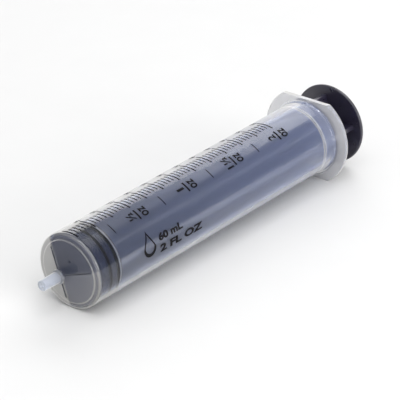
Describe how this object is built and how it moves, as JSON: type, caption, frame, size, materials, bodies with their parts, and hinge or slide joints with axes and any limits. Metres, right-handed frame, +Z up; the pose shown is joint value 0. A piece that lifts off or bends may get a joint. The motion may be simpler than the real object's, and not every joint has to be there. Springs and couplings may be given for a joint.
{
  "type": "syringe",
  "caption": "Plastic syringe with an off-centre slip nozzle, a flatted finger flange, a rubber stopper that slides in the barrel and a cross-ribbed plunger rod with a round thumb disc.",
  "frame": {"origin": "centre of the barrel's flat front face, on the barrel's axis", "axes": "+X along the barrel from the nozzle end to the thumb disc, +Z up, square to the flats of the finger flange, +Y towards the side of the barrel that the nozzle is nearer to"},
  "size_m": [0.1632, 0.039, 0.0324],
  "materials": {
    "barrel_plastic": "translucent natural polypropylene, lightly frosted",
    "stopper_rubber": "black rubber with a silicone film",
    "rod_plastic": "moulded plastic, blue-black, semi-gloss",
    "scale_ink": "black printing ink of the scales, which Blender's printed pieces use"
  },
  "bodies": {
    "barrel": {"barrel": "barrel_plastic"},
    "stopper": {"stopper": "stopper_rubber"},
    "plunger": {"plunger_rod": "rod_plastic"}
  },
  "joints": [
    {"name": "stopper_slide", "type": "slide", "parent": "barrel", "child": "stopper", "axis": [1, 0, 0], "range_m": [0, 0.1178]},
    {"name": "rod_turn", "type": "hinge", "parent": "stopper", "child": "plunger", "pos_m": [0.0125, 0, 0], "axis": [1, 0, 0], "continuous": true}
  ]
}
